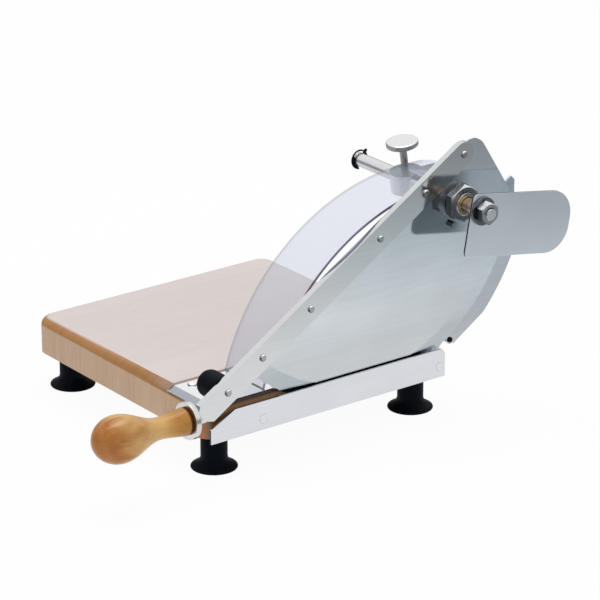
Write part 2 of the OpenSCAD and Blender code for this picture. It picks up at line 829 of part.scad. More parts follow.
module blade_outline() {
    top = arm_offset + arm_w / 2 - blade_sink;
    r = blade_corner_r;
    far = 2 * blade_r;
    intersection() {
        polygon(edge_points(180 + edge_lead, 360 - edge_lead, edge_steps));
        union() {
            polygon([
                [-far, -far], [blade_tail, -far], [blade_tail, top - r], [blade_tail - r, top], [-far, top]
            ]);
            translate([blade_tail - r, top - r]) circle(r);
        }
    }
}

module blade() {
    slope = (blade_t - edge_t) / bevel_w;
    color("whitesmoke") placed() lever() difference() {
        sheet(blade_in, blade_out) blade_outline();
        head_out(blade_out, [-blade_lead, blade_rise]) rotate_extrude($fn = 128) polygon([
            [blade_r - bevel_w, 0], [blade_r - bevel_w, past], [blade_r + past, past],
            [blade_r + past, -slope * (bevel_w + past)]
        ]);
        bar(blade_in - eps, blade_out + eps, bush_d + 2 * run_gap);
        bar(blade_in - eps, blade_out + eps, pin_d + 2 * run_gap, pin_at);
        for (u = arm_screws_u)
            bar(blade_in - eps, blade_out + eps, arm_shank_d + 2 * fit_gap, [u, arm_offset]);
    }
}

module arm_screws() {
    color("silver") placed() lever() for (i = [0:len(arm_screws_u) - 1]) {
        grip = i == 0 ? arm_t + bumper_screw_l : arm_t + blade_t;
        head_out(arm_out, [arm_screws_u[i], arm_offset])
            pan_screw(arm_head_d, arm_head_h, arm_shank_d, grip);
    }
}

module pivot_bush() {
    bore = axle_d + 2 * run_gap;
    color("goldenrod") placed() {
        pivot_ring(bush_in, blade_in, bush_flange_d, bore);
        pivot_ring(blade_in, bush_out, bush_d, bore);
    }
}

module bush_ring() {
    color("silver") placed()
        pivot_ring(blade_out, blade_out + bush_ring_t, bush_flange_d, bush_d + 2 * run_gap);
}

module stop_pin() {
    color("dimgray") placed() lever() {
        bar(blade_out, blade_out + pin_head_h, pin_head_d, pin_at);
        bar(post_in, blade_out + eps, pin_d, pin_at);
    }
}

module bumper() {
    color("black") placed() lever() difference() {
        bar(blade_out - bumper_l, blade_out, bumper_d, [-bumper_reach, arm_offset]);
        bar(blade_out - bumper_screw_l - fit_gap, blade_out + eps, arm_shank_d + 2 * fit_gap,
            [-bumper_reach, arm_offset]);
    }
}

module handle_tang() {
    color("silver") placed() handle_axes()
        translate([-tang_t, -tang_h / 2, -flange_t - tang_l]) cube([tang_t, tang_h, tang_l]);
}

module handle_flange() {
    color("silver") placed() handle_axes() difference() {
        translate([0, 0, -flange_t]) cylinder(h = flange_t, d = flange_d);
        translate([0, 0, -flange_t - eps]) cylinder(h = flange_t + 2 * eps, d = stud_d + 2 * fit_gap);
    }
}

module handle_stud() {
    color("silver") placed() handle_axes()
        translate([0, 0, -flange_t]) cylinder(h = flange_t + stud_l, d = stud_d);
}

// Smooth step between two radii
function ease(a, b, t) = a + (b - a) * (1 - cos(180 * t)) / 2;

module handle_grip() {
    steps = 12;
    root = grip_root_d / 2;
    neck = grip_neck_d / 2;
    bulb = grip_bulb_d / 2;
    swell_l = grip_bulb_at - grip_neck_at;
    end_l = grip_l - grip_bulb_at;
    color("peru") placed() handle_axes() difference() {
        rotate_extrude() polygon([
            [0, 0],
            for (i = [0:steps - 1]) [ease(root, neck, i / steps), grip_neck_at * i / steps],
            for (i = [0:steps - 1]) [ease(neck, bulb, i / steps), grip_neck_at + swell_l * i / steps],
            for (i = [0:steps - 1]) let (a = 90 * i / steps) [bulb * cos(a), grip_bulb_at + end_l * sin(a)],
            [0, grip_l]
        ]);
        translate([0, 0, -eps]) cylinder(h = stud_l + fit_gap + eps, d = stud_d + 2 * fit_gap);
    }
}

module stop_rod() {
    color("silver") placed() {
        bar(-rod_left, clip_x, rod_d, [pivot_y, pivot_z]);
        bar(clip_x - eps, clip_x + clip_t + eps, clip_groove_d, [pivot_y, pivot_z]);
        bar(clip_x + clip_t, stop_x - fit_gap, rod_d, [pivot_y, pivot_z]);
        bar(stop_x - fit_gap - eps, rod_right, rod_end_d, [pivot_y, pivot_z]);
    }
}

// Space between the clip's rim and the rod
module clip_gap() {
    steps = 4;
    turn = (clip_gap_to - clip_gap_from) / steps;
    intersection() {
        circle(clip_d / 2 - clip_rim);
        polygon([
            [0, 0],
            for (i = [0:steps]) let (a = clip_gap_from + turn * i) clip_d * [cos(a), sin(a)]
        ]);
    }
}

// Open clip in the rod's groove, with an ear
module rod_end_clip() {
    color("black") placed() translate([0, pivot_y, pivot_z]) rotate([clip_ear_angle, 0, 0])
        sheet(clip_x, clip_x + clip_t) difference() {
            union() {
                circle(d = clip_d);
                translate([0, -clip_ear_w / 2]) square([clip_ear_r - clip_ear_w / 2, clip_ear_w]);
                translate([clip_ear_r - clip_ear_w / 2, 0]) circle(d = clip_ear_w);
            }
            circle(d = clip_groove_d + 2 * run_gap);
            clip_gap();
            rotate(-clip_open_turn) translate([0, -clip_open / 2]) square([clip_d, clip_open]);
        }
}

module stop_washer() {
    color("silver") placed()
        pivot_ring(stop_washer_x, stop_nut_x, stop_washer_d, rod_end_d + 2 * run_gap);
}

module stop_nut() {
    color("silver") placed()
        pivot_hex(stop_nut_x, stop_nut_x + stop_nut_h, stop_nut_af, rod_end_d + 2 * run_gap);
}

module stop_outline() {
    f = stop_fore_r;
    a = stop_aft_r;
    polygon([
        [-stop_fore + f, -stop_down], [stop_aft - a, -stop_down],
        [stop_aft, -stop_down + a], [stop_aft, stop_up - a],
        [stop_aft - a, stop_up], [-stop_fore + f, stop_up],
        [-stop_fore, stop_up - f], [-stop_fore, -stop_down + f]
    ]);
    for (z = [-stop_down, stop_up]) {
        inward = z < 0 ? 1 : -1;
        translate([stop_aft - a, z + inward * a]) circle(a);
        translate([-stop_fore + f, z + inward * f]) circle(f);
    }
}

module stop_plate() {
    color("lightgray") placed() translate([0, pivot_y, pivot_z]) rotate([-stop_slope, 0, 0]) difference() {
        sheet(stop_x, stop_x + stop_t) stop_outline();
        bar(stop_x - eps, stop_x + stop_t + eps, rod_end_d + 2 * run_gap);
    }
}

module thumb_screw_stem() {
    foot = rod_d / 2 + clear_gap;
    color("silver") placed() clamp_axes()
        translate([0, 0, foot]) cylinder(h = knob_at + stem_in - foot, d = stem_d);
}

module thumb_screw_knob() {
    r = knob_d / 2;
    c = knob_chamfer;
    color("silver") placed() clamp_axes() translate([0, 0, knob_at]) difference() {
        rotate_extrude() polygon([[0, 0], [r - c, 0], [r, c], [r, knob_t - c], [r - c, knob_t], [0, knob_t]]);
        translate([0, 0, -eps]) cylinder(h = stem_in + eps, d = stem_d + 2 * run_gap);
    }
}

board();
foot_front_right();
foot_front_left();
foot_rear_right();
foot_rear_left();
foot_studs();
base_plate();
base_plate_screws();
rail_plate();
rail_spacers();
rail_screws();
rear_post();
post_screws();
post_tip_plug();
guard();
guard_screws();
pivot_axle();
guide_sleeve();
pivot_washer();
pivot_nut();
clamp_boss();
arm_bar();
blade();
arm_screws();
pivot_bush();
bush_ring();
stop_pin();
bumper();
handle_tang();
handle_flange();
handle_stud();
handle_grip();
stop_rod();
rod_end_clip();
stop_washer();
stop_nut();
stop_plate();
thumb_screw_stem();
thumb_screw_knob();
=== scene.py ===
"""Looks for the lever bread slicer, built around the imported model. Metres, +Z up, blade side at +X."""

import json
import math

import bmesh
import bpy
from mathutils import Matrix, Vector

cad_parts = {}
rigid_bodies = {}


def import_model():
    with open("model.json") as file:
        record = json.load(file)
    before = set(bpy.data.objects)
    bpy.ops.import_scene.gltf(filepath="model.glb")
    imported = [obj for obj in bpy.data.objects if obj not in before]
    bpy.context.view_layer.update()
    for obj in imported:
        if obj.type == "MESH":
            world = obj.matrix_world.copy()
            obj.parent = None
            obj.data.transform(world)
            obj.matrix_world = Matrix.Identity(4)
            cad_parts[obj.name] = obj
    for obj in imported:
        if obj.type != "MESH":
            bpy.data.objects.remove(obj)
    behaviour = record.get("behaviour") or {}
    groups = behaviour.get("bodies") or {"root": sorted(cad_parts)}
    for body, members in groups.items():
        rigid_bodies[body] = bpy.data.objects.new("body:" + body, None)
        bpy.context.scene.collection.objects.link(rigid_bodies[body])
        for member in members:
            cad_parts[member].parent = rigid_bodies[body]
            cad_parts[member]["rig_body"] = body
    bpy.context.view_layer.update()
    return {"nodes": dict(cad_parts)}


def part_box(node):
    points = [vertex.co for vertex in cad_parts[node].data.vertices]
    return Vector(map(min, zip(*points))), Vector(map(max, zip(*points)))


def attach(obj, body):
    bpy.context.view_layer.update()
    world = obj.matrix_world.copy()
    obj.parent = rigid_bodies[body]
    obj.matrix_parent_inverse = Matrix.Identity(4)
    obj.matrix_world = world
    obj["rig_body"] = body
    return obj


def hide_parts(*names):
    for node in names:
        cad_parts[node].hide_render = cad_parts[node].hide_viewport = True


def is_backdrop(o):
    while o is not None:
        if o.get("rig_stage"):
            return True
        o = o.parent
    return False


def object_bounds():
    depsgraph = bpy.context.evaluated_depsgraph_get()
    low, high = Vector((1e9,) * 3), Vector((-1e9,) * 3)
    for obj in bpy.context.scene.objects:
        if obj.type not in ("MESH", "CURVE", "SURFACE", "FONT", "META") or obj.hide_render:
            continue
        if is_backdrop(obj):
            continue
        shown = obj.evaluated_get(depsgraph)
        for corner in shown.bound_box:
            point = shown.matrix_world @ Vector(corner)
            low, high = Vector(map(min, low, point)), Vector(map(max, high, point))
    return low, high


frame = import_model()
scene = bpy.context.scene
scene.view_settings.view_transform = "Standard"

MM = 0.001
# Origin of the row frame in the part's working axes, in millimetres
ORIGIN = (-111.375, 124.036, -32.3)

# Camera at the photograph's viewing angle
CAMERA_AT = (2.19768, -1.60864, 1.15740)
CAMERA_DOWN = 21.26
CAMERA_TURN = 52.92
CAMERA_LENS = 202.3

# Turned pieces, in millimetres and degrees; sizes across a piece are radii
GRIP = {"length": 90.5, "root": 12.0, "neck": 9.5, "neck_at": 27.0, "bulb": 20.5, "bulb_at": 67.0}
GRIP_AT = (-3.9, -22.793, 26.398)
GRIP_TILT = 1.2
FOOT = {"rim": 20.1, "neck": 11.5, "height": 32.3}
BUMPER_ROWS = [(0.0, 0.0), (6.0, 0.1), (9.0, 0.8), (10.8, 2.2), (11.7, 4.2), (12.0, 7.0), (12.0, 25.6),
               (11.6, 26.0), (0.0, 26.0)]
NUTS = {
    "pivot_nut": {"flats": 30.0, "thick": 9.0, "bore": 10.05},
    "stop_nut": {"flats": 18.0, "thick": 8.0, "bore": 5.05},
}
NUT_CHAMFER = 28.0

# Sharper edges than this angle are eased, and flatter joins than the other are merged, in degrees
EASE_ANGLE = 32.0
FLAT_ANGLE = 0.6

# Sockets of the colour mix node
MIX_FACTOR, MIX_A, MIX_B, MIX_RESULT = 0, 6, 7, 2
# Height of fine surface marks, in metres
FINE = 0.0002
COARSE = 0.0003


def add_camera():
    cam = bpy.data.cameras.new("camera")
    cam.lens = CAMERA_LENS
    cam.sensor_width = 36.0
    cam.clip_end = 50.0
    ob = bpy.data.objects.new("camera", cam)
    ob.location = CAMERA_AT
    ob.rotation_euler = (math.radians(90 - CAMERA_DOWN), 0.0, math.radians(CAMERA_TURN))
    scene.collection.objects.link(ob)
    scene.camera = ob


# Node helpers
def new_material(name):
    mat = bpy.data.materials.new(name)
    mat.use_nodes = True
    tree = mat.node_tree
    return mat, tree, tree.nodes["Principled BSDF"]


def put(socket, value):
    """Links a socket's source, or sets its constant."""
    if isinstance(value, bpy.types.NodeSocket):
        socket.node.id_data.links.new(value, socket)
    elif isinstance(value, tuple) and len(value) == 3 and socket.type == "RGBA":
        socket.default_value = (*value, 1.0)
    else:
        socket.default_value = value


def node(tree, kind, settings=None, **inputs):
    n = tree.nodes.new(kind)
    for key, value in (settings or {}).items():
        setattr(n, key, value)
    for key, value in inputs.items():
        put(n.inputs[key.replace("_", " ")], value)
    return n.outputs[0]


def coords(tree, scale=(1, 1, 1), turn=(0, 0, 0)):
    tc = tree.nodes.new("ShaderNodeTexCoord")
    turn = tuple(math.radians(a) for a in turn)
    return node(tree, "ShaderNodeMapping", Vector=tc.outputs["Object"], Scale=scale, Rotation=turn)


def facing(tree):
    return tree.nodes.new("ShaderNodeTexCoord").outputs["Normal"]


def axes(tree, vector):
    n = tree.nodes.new("ShaderNodeSeparateXYZ")
    put(n.inputs[0], vector)
    return n.outputs


def noise(tree, vector, scale, detail=4.0, rough=0.55, bend=0.0):
    return node(tree, "ShaderNodeTexNoise", Vector=vector, Scale=scale, Detail=detail, Roughness=rough,
                Distortion=bend)


def ramp(tree, fac, stops):
    """Colour ramp; a stop is a place and a colour, or a place and a grey."""
    n = tree.nodes.new("ShaderNodeValToRGB")
    put(n.inputs["Fac"], fac)
    e = n.color_ramp.elements
    while len(e) < len(stops):
        e.new(0.5)
    for item, (at, colour) in zip(e, stops):
        item.position = at
        item.color = (*colour, 1.0) if isinstance(colour, tuple) else (colour, colour, colour, 1.0)
    return n.outputs["Color"]


def mix(tree, fac, a, b, blend="MIX"):
    n = tree.nodes.new("ShaderNodeMix")
    n.data_type = "RGBA"
    n.blend_type = blend
    put(n.inputs[MIX_FACTOR], fac)
    put(n.inputs[MIX_A], a)
    put(n.inputs[MIX_B], b)
    return n.outputs[MIX_RESULT]


def shaded(tree, colour, shade):
    return mix(tree, 1.0, colour, shade, "MULTIPLY")


def maths(tree, op, a, b=0.0, clamp=False):
    n = tree.nodes.new("ShaderNodeMath")
    n.operation = op
    n.use_clamp = clamp
    put(n.inputs[0], a)
    put(n.inputs[1], b)
    return n.outputs[0]


def times(tree, a, b):
    return maths(tree, "MULTIPLY", a, b)


def weighed(tree, a, share_a, b, share_b):
    return maths(tree, "ADD", times(tree, a, share_a), times(tree, b, share_b))


def span(tree, value, low, high, to_low=0.0, to_high=1.0):
    n = tree.nodes.new("ShaderNodeMapRange")
    put(n.inputs["Value"], value)
    put(n.inputs["From Min"], low)
    put(n.inputs["From Max"], high)
    put(n.inputs["To Min"], to_low)
    put(n.inputs["To Max"], to_high)
    return n.outputs["Result"]


def drift(tree, value, low, high):
    """Range of a number over noise, which mostly lies between 0.3 and 0.7."""
    return span(tree, value, 0.3, 0.7, low, high)


def tones(tree, value, low, high):
    """Range of a colour over noise."""
    return ramp(tree, value, [(0.3, low), (0.7, high)])


def bump(tree, bsdf, height, strength, distance):
    relief = node(tree, "ShaderNodeBump", Height=height, Strength=strength, Distance=distance)
    put(bsdf.inputs["Normal"], relief)


def mixed_surface(tree, fac, first, second):
    both = tree.nodes.new("ShaderNodeMixShader")
    put(both.inputs[0], fac)
    put(both.inputs[1], first.outputs[0])
    put(both.inputs[2], second.outputs[0])
    put(tree.nodes["Material Output"].inputs["Surface"], both.outputs[0])


# Materials
def brushed(tree, streak):
    return noise(tree, coords(tree, streak), 1.0, 3.0, 0.6)


def make_metal(tree, bsdf, colour, rough, marks, depth=0.02):
    put(bsdf.inputs["Base Color"], colour)
    put(bsdf.inputs["Metallic"], 1.0)
    put(bsdf.inputs["Roughness"], rough)
    bump(tree, bsdf, marks, depth, FINE)


def steel(name, low, high, rough, spread, streak, fade=None):
    """Bright metal whose tone and roughness drift, with fine lines along one direction.

    fade paints light and shade by height: two heights and the two factors of the tone at them."""
    mat, t, b = new_material(name)
    lines = brushed(t, streak)
    cloud = noise(t, coords(t), 22.0, 3.0, 0.5)
    tone = weighed(t, lines, 0.45, cloud, 0.55)
    colour = ramp(t, tone, [(0.32, low), (0.68, high)])
    # Painted light and shade: the tone is scaled by height
    if fade:
        bottom, top, at_bottom, at_top = fade
        _, _, z = axes(t, coords(t))
        colour = shaded(t, colour, ramp(t, span(t, z, bottom, top), [(0.0, at_bottom), (1.0, at_top)]))
    make_metal(t, b, colour, drift(t, tone, rough, rough + spread), lines)
    return mat


def plate_back():
    """Back of the stop plate: satin sheet with painted shade by the pivot, dark there and bright away from
    it.
    """
    mat, t, b = new_material("satin_back")
    lines = brushed(t, (30, 700, 700))
    _, y, _ = axes(t, coords(t))
    shaded_tone = tones(t, lines, (0.30, 0.335, 0.35), (0.37, 0.405, 0.42))
    lit_tone = tones(t, lines, (0.66, 0.70, 0.74), (0.74, 0.78, 0.82))
    # Painted shade by the pivot, giving way to the lit tone along Y
    colour = mix(t, span(t, y, 0.160, 0.182), shaded_tone, lit_tone)
    make_metal(t, b, colour, drift(t, lines, 0.3, 0.38), lines)
    return mat


def rod_steel():
    """Bright rod with a painted reflection of its brass guide: a warm tone where the rod leaves the guide."""
    mat, t, b = new_material("rod_steel")
    lines = brushed(t, (900, 60, 60))
    x, _, _ = axes(t, coords(t))
    bright = tones(t, lines, (0.62, 0.62, 0.63), (0.74, 0.74, 0.75))
    guide_reflection = tones(t, lines, (0.40, 0.26, 0.18), (0.62, 0.46, 0.35))
    # Painted reflection of the brass guide where the rod leaves it
    by_guide = times(t, span(t, x, 0.110, 0.118), span(t, x, 0.143, 0.139))
    make_metal(t, b, mix(t, by_guide, bright, guide_reflection), drift(t, lines, 0.2, 0.28), lines)
    return mat


def facing_lit_steel(name, dark, bright, rough, worn=0.3):
    """Worn hardware steel with painted light and shade: dark where it faces down or forward, bright where it
    faces up.
    """
    mat, t, b = new_material(name)
    lit = t.nodes.new("ShaderNodeVectorMath")
    lit.operation = "DOT_PRODUCT"
    put(lit.inputs[0], facing(t))
    put(lit.inputs[1], (0.35, 0.3, 0.88))
    wear = noise(t, coords(t), 260.0, 4.0, 0.6)
    tone = maths(t, "ADD", lit.outputs["Value"], times(t, wear, worn))
    half_lit = tuple(0.6 * d + 0.4 * h for d, h in zip(dark, bright))
    colour = ramp(t, tone, [(0.1, dark), (0.5, half_lit), (0.95, bright)])
    make_metal(t, b, colour, drift(t, wear, rough, rough + 0.1), wear, 0.03)
    return mat


def board_wood():
    """Beech: pale top, tan sides, orange on the rounded edges, partly the wood's own tone and partly painted
    shade.
    """
    mat, t, b = new_material("board_wood")
    x, _, z = axes(t, coords(t))
    right_face, rear_face, up_face = axes(t, facing(t))
    # Glued staves along the board, each with its own tone
    warp = noise(t, coords(t, (2, 1.2, 2)), 3.0, 2.0)
    stave = maths(t, "FLOOR", maths(t, "DIVIDE", x, 0.043))
    stave_tone = node(t, "ShaderNodeTexWhiteNoise", {"noise_dimensions": "1D"}, W=stave)
    rings = noise(t, coords(t, (420, 5, 26)), 1.0, 5.0, 0.6, 0.4)
    streaks = noise(t, coords(t, (95, 2.2, 14)), 1.0, 4.0, 0.55, 0.8)
    flecks = noise(t, coords(t, (700, 55, 300)), 1.0, 2.0, 0.5)
    figure = weighed(t, rings, 0.5, streaks, 0.5)
    top = ramp(t, figure, [
        (0.3, (0.715, 0.635, 0.61)), (0.5, (0.735, 0.655, 0.635)), (0.72, (0.755, 0.685, 0.665))])
    side = ramp(t, figure, [
        (0.3, (0.55, 0.35, 0.205)), (0.5, (0.62, 0.415, 0.265)), (0.72, (0.69, 0.505, 0.35))])
    edge = ramp(t, figure, [
        (0.3, (0.40, 0.165, 0.045)), (0.5, (0.47, 0.22, 0.068)), (0.72, (0.53, 0.275, 0.10))])
    # Colour by facing: the darker sides and orange rounded edges are partly painted shade
    colour = mix(t, span(t, up_face, 0.06, 0.22), side, edge)
    colour = mix(t, span(t, up_face, 0.87, 0.985), colour, top)
    # The wall of the plate's seat is pale; the side in the blade's slot is brown with painted shade, darker
    # at the bottom and a near-black painted shadow under the plate
    right = span(t, right_face, 0.6, 0.9)
    outer = span(t, x, 0.09, 0.1)
    colour = mix(t, times(t, right, maths(t, "SUBTRACT", 1.0, outer)), colour, top)
    slot_shade = ramp(t, span(t, z, 0.050, 0.064), [
        (0.0, (0.19, 0.08, 0.03)), (0.42, (0.52, 0.29, 0.16)), (0.54, (0.46, 0.25, 0.14)),
        (0.72, (0.03, 0.012, 0.006))])
    colour = mix(t, times(t, right, outer), colour, slot_shade)
    # The front corner beside the rail is painted in shade: orange, darkening to near black towards the slot
    by_rail = times(t, span(t, rear_face, -0.5, -0.8), span(t, x, 0.084, 0.090))
    corner = mix(t, span(t, x, 0.0965, 0.1025), (0.52, 0.21, 0.075), (0.10, 0.034, 0.012))
    colour = mix(t, by_rail, colour, corner)
    colour = shaded(t, colour, ramp(t, stave_tone, [(0.0, 0.95), (1.0, 1.03)]))
    colour = shaded(t, colour, ramp(t, flecks, [(0.30, 0.94), (0.42, 1.0)]))
    colour = shaded(t, colour, tones(t, warp, (0.97, 0.96, 0.96), (1.02, 1.02, 1.03)))
    put(b.inputs["Base Color"], colour)
    put(b.inputs["Roughness"], drift(t, figure, 0.36, 0.5))
    bump(t, b, figure, 0.12, COARSE)
    return mat


def grip_wood():
    """Oiled wood with its grain along the grip."""
    mat, t, b = new_material("grip_wood")
    turn = (GRIP_TILT, 0, 0)
    bands = noise(t, coords(t, (60, 5, 60), turn), 1.0, 5.0, 0.6, 1.2)
    fine = noise(t, coords(t, (420, 18, 420), turn), 1.0, 3.0, 0.5)
    cloud = noise(t, coords(t), 26.0, 2.0, 0.5, 0.6)
    figure = weighed(t, bands, 0.65, fine, 0.35)
    colour = ramp(t, figure, [
        (0.28, (0.34, 0.115, 0.016)), (0.46, (0.52, 0.235, 0.040)), (0.7, (0.69, 0.39, 0.105))])
    colour = shaded(t, colour, ramp(t, cloud, [(0.35, (0.84, 0.66, 0.50)), (0.62, (1.16, 1.14, 1.1))]))
    _, y, _ = axes(t, coords(t))
    # Pale belly, redder wood at the bulb's end in flames, orange root and a dark ring at the flange
    flame = maths(t, "ADD", y, times(t, maths(t, "SUBTRACT", bands, 0.5), 0.06))
    belly = times(t, span(t, flame, -0.228, -0.214), span(t, y, -0.158, -0.178))
    pale = times(t, belly, span(t, cloud, 0.26, 0.50))
    end = span(t, flame, -0.210, -0.226)
    root = span(t, y, -0.172, -0.156)
    ring = span(t, y, -0.1494, -0.1487)
    colour = mix(t, times(t, pale, 0.72), colour, (0.74, 0.48, 0.19))
    colour = mix(t, times(t, end, 0.62), colour, (0.43, 0.145, 0.03))
    colour = mix(t, times(t, root, 0.7), colour, (0.50, 0.225, 0.04))
    colour = mix(t, times(t, ring, 0.92), colour, (0.09, 0.030, 0.008))
    put(b.inputs["Base Color"], colour)
    put(b.inputs["Roughness"], drift(t, fine, 0.24, 0.36))
    put(b.inputs["Specular IOR Level"], span(t, ring, 0.0, 1.0, 0.3, 0.05))
    put(b.inputs["Coat Weight"], span(t, ring, 0.0, 1.0, 0.12, 0.0))
    put(b.inputs["Coat Roughness"], 0.2)
    bump(t, b, figure, 0.08, COARSE)
    return mat


def black_rubber(name, colour, rough):
    mat, t, b = new_material(name)
    cloud = noise(t, coords(t), 60.0, 3.0)
    fine = noise(t, coords(t), 900.0, 2.0)
    put(b.inputs["Base Color"], tones(t, cloud, colour, tuple(1.7 * c for c in colour)))
    put(b.inputs["Roughness"], drift(t, cloud, rough, rough + 0.1))
    put(b.inputs["Specular IOR Level"], 0.08)
    put(b.inputs["Specular Tint"], (0.66, 0.80, 1.0))
    bump(t, b, fine, 0.08, FINE)
    return mat


def clear_plastic(name, tint, body):
    """Clear sheet: it passes most light with a tint, under a faint haze."""
    mat, t, b = new_material(name)
    haze = noise(t, coords(t), 14.0, 2.0)
    put(b.inputs["Base Color"], tones(t, haze, body, tuple(1.05 * c for c in body)))
    put(b.inputs["Roughness"], drift(t, haze, 0.04, 0.06))
    see = t.nodes.new("ShaderNodeBsdfTransparent")
    put(see.inputs["Color"], tint)
    mixed_surface(t, drift(t, haze, 0.16, 0.20), see, b)
    return mat


# Studio: white floor and surroundings, one soft lamp
def white_for_view(tree):
    path = tree.nodes.new("ShaderNodeLightPath")
    seen = maths(tree, "MAXIMUM", path.outputs["Is Camera Ray"], path.outputs["Is Glossy Ray"])
    return maths(tree, "MAXIMUM", seen, path.outputs["Is Transmission Ray"])


def add_world():
    world = bpy.data.worlds.new("studio")
    world.use_nodes = True
    t = world.node_tree
    scene.world = world
    put(t.nodes["Background"].inputs["Color"], (1.0, 1.0, 1.0))
    put(t.nodes["Background"].inputs["Strength"], span(t, white_for_view(t), 0.0, 1.0, 0.62, 1.0))


def add_floor():
    me = bpy.data.meshes.new("floor")
    half = 6.0
    corners = [(-half, -half, 0), (half, -half, 0), (half, half, 0), (-half, half, 0)]
    me.from_pydata(corners, [], [(0, 1, 2, 3)])
    floor = bpy.data.objects.new("floor", me)
    floor.location.z = -0.0003
    scene.collection.objects.link(floor)
    mat, t, b = new_material("floor_paper")
    grain = noise(t, coords(t), 180.0, 2.0)
    put(b.inputs["Base Color"], tones(t, grain, 0.9, 0.93))
    put(b.inputs["Roughness"], 0.9)
    put(b.inputs["Specular IOR Level"], 0.0)
    glow = t.nodes.new("ShaderNodeEmission")
    put(glow.inputs["Color"], (1.0, 1.0, 1.0))
    mixed_surface(t, times(t, white_for_view(t), 0.95), b, glow)
    me.materials.append(mat)
    floor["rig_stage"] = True


def add_surround():
    """Grey room around the white table, which only shiny surfaces mirror."""
    lift = 0.0004
    rings = [(0.26, lift), (0.42, lift), (0.6, lift), (0.9, lift), (2.4, lift), (2.6, 1.1)]
    steps = 48
    turns = [2 * math.pi * i / steps for i in range(steps)]
    verts = [(r * math.cos(a), r * math.sin(a), z) for r, z in rings for a in turns]
    faces = []
    for k in range(len(rings) - 1):
        low, high = k * steps, (k + 1) * steps
        for i in range(steps):
            j = (i + 1) % steps
            faces.append((low + i, low + j, high + j, high + i))
    me = bpy.data.meshes.new("surround")
    me.from_pydata(verts, [], faces)
    ob = bpy.data.objects.new("surround", me)
    ob.location.y = 0.05
    scene.collection.objects.link(ob)
    mat, t, b = new_material("surround")
    t.nodes.remove(b)
    x, y, z = axes(t, coords(t))
    r = maths(t, "SQRT", maths(t, "ADD", maths(t, "POWER", x, 2.0), maths(t, "POWER", y, 2.0)))
    glow = t.nodes.new("ShaderNodeEmission")
    put(glow.inputs["Color"], ramp(t, r, [
        (0.26, (0.86, 0.87, 0.90)), (0.42, (0.76, 0.785, 0.80)), (0.52, (0.62, 0.67, 0.70)),
        (0.66, (0.46, 0.51, 0.54)), (0.8, (0.34, 0.37, 0.39)), (1.0, (0.28, 0.30, 0.32))]))
    clear_air = t.nodes.new("ShaderNodeBsdfTransparent")
    fade = maths(t, "SUBTRACT", span(t, r, 0.26, 0.40), span(t, z, 0.3, 1.05), clamp=True)
    mixed_surface(t, fade, clear_air, glow)
    me.materials.append(mat)
    ob.visible_camera = ob.visible_diffuse = ob.visible_shadow = ob.visible_transmission = False
    ob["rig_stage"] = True


def add_lamp(name, at, aim, size, power):
    lamp = bpy.data.lights.new(name, "AREA")
    lamp.shape = "DISK"
    lamp.size = size
    lamp.energy = power
    ob = bpy.data.objects.new(name, lamp)
    ob.location = at
    ob.rotation_euler = (Vector(aim) - Vector(at)).to_track_quat("-Z", "Y").to_euler()
    scene.collection.objects.link(ob)


def add_studio():
    add_world()
    add_floor()
    add_surround()
    add_lamp("lamp_top", at=(-0.3, 0.1, 1.9), aim=(0.0, 0.0, 0.05), size=1.5, power=15.0)


# Pieces
def finish_piece(name, me, mats, body, sharp=40.0):
    """Puts a mesh in the scene as the looks of one CAD node."""
    for mat in mats:
        me.materials.append(mat)
    me.shade_smooth()
    me.set_sharp_from_angle(angle=math.radians(sharp))
    ob = bpy.data.objects.new(name + "_look", me)
    scene.collection.objects.link(ob)
    even = ob.modifiers.new("even_normals", "WEIGHTED_NORMAL")
    even.keep_sharp = True
    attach(ob, body)
    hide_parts(name)


def dressed(name, mat, edge, rims=()):
    """A copy of a CAD node with its sharp edges eased by edge, in millimetres.

    Faces that pass a rim's test take that rim's material."""
    src = frame["nodes"][name]
    bm = bmesh.new()
    bm.from_mesh(src.data)
    bmesh.ops.remove_doubles(bm, verts=bm.verts, dist=2e-6)
    bmesh.ops.dissolve_limit(bm, angle_limit=math.radians(FLAT_ANGLE), verts=bm.verts, edges=bm.edges)
    for f in bm.faces:
        f.material_index = next((i + 1 for i, (_, test) in enumerate(rims) if test(f.normal)), 0)
    if edge:
        limit = math.radians(EASE_ANGLE)
        sharp = [e for e in bm.edges if e.is_manifold and e.calc_face_angle(0.0) > limit]
        bmesh.ops.bevel(bm, geom=sharp, offset=edge * MM, segments=2, profile=0.5, affect="EDGES",
                        clamp_overlap=True)
    me = bpy.data.meshes.new(name + "_look")
    bm.to_mesh(me)
    bm.free()
    finish_piece(name, me, [mat, *(rim for rim, _ in rims)], src["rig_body"])


def lathed(name, mat, rows, at, steps, sharp):
    """Closed profile of (radius, height) in millimetres, turned about the Z axis of the matrix at.

    A row's radius and height may be functions of the angle, for hexagons."""
    bm = bmesh.new()
    rings = []
    for radius, height in rows:
        ring = []
        for k in range(steps):
            a = 2 * math.pi * k / steps
            r = radius(a) if callable(radius) else radius
            h = height(a) if callable(height) else height
            point = Vector((r * MM * math.cos(a), r * MM * math.sin(a), h * MM))
            ring.append(bm.verts.new(at @ point))
        rings.append(ring)
    for low, high in zip(rings, rings[1:] + rings[:1]):
        for k in range(steps):
            m = (k + 1) % steps
            bm.faces.new((low[k], low[m], high[m], high[k]))
    bmesh.ops.remove_doubles(bm, verts=bm.verts, dist=1e-6)
    bmesh.ops.dissolve_degenerate(bm, edges=bm.edges, dist=1e-7)
    bmesh.ops.recalc_face_normals(bm, faces=bm.faces)
    me = bpy.data.meshes.new(name + "_look")
    bm.to_mesh(me)
    bm.free()
    finish_piece(name, me, [mat], frame["nodes"][name]["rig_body"], sharp)


